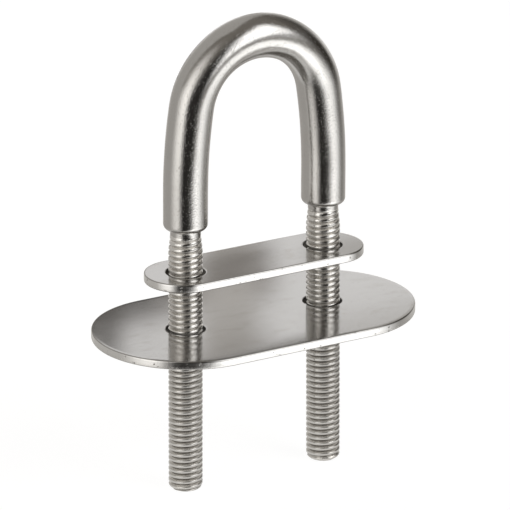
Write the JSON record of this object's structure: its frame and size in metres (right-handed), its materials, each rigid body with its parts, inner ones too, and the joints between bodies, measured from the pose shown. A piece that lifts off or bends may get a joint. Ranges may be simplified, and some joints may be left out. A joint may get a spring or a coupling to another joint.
{
  "type": "pad eye",
  "caption": "U-bolt pad eye of bent stainless bar with two threaded studs, a narrow deck plate and a wide backing plate, both round-ended and sliding on the studs.",
  "frame": {"origin": "half way between the two studs, in the plane of the deck plate's underside, where the deck surface lies", "axes": "+Z along the studs, up through the eye; +X along the line of the two studs; +Y across the bar, through the eye"},
  "size_m": [0.0608, 0.0334, 0.0845],
  "materials": {
    "u_bolt": "mirror-polished stainless steel, bright rolled threads",
    "deck_plate": "polished stainless sheet with fine drawn lines",
    "backing_plate": "polished stainless sheet with fine drawn lines"
  },
  "bodies": {
    "u_bolt": {"u_bolt": "u_bolt"},
    "deck_plate": {"deck_plate": "deck_plate"},
    "backing_plate": {"backing_plate": "backing_plate"}
  },
  "joints": [
    {"name": "deck_plate_slide", "type": "slide", "parent": "u_bolt", "child": "deck_plate", "axis": [0, 0, 1], "range_m": [-0.0045, 0.0079]},
    {"name": "backing_plate_slide", "type": "slide", "parent": "u_bolt", "child": "backing_plate", "axis": [0, 0, 1], "range_m": [-0.028, 0.0044]}
  ]
}
